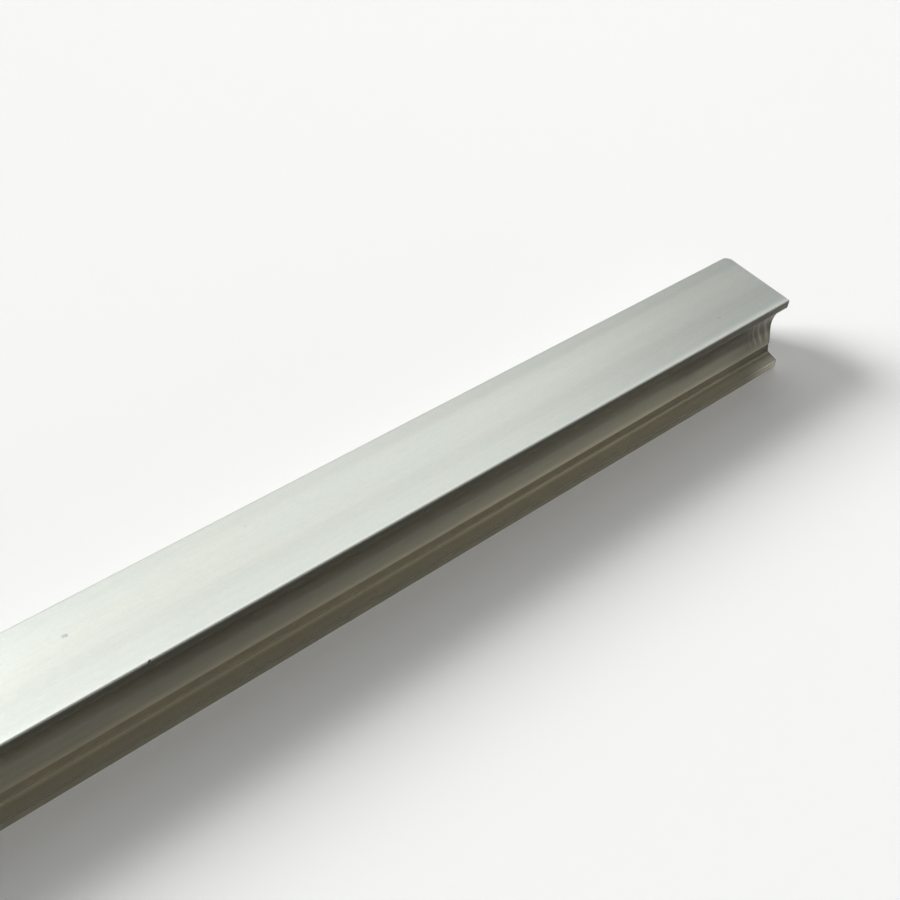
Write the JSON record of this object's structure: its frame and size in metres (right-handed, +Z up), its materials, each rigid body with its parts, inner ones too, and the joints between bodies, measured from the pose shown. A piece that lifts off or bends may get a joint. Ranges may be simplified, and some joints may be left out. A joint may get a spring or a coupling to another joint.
{
  "type": "aluminium extrusion profile",
  "caption": "Straight length of extruded aluminium with a flat head, a hollow waisted neck with coved sides and a wider foot, as raw stock to cut and fasten.",
  "frame": {"origin": "centre of the underside of the foot, at the middle of the bar's length", "axes": "+X along the bar towards the end with the blunted corner, +Y across it towards the side that corner is on, +Z up through the head"},
  "size_m": [0.5, 0.0234, 0.0203],
  "materials": {
    "aluminium": "mill finish, satin, with fine lines along the bar"
  },
  "bodies": {
    "root": {"profile_bar": "aluminium"}
  },
  "joints": []
}
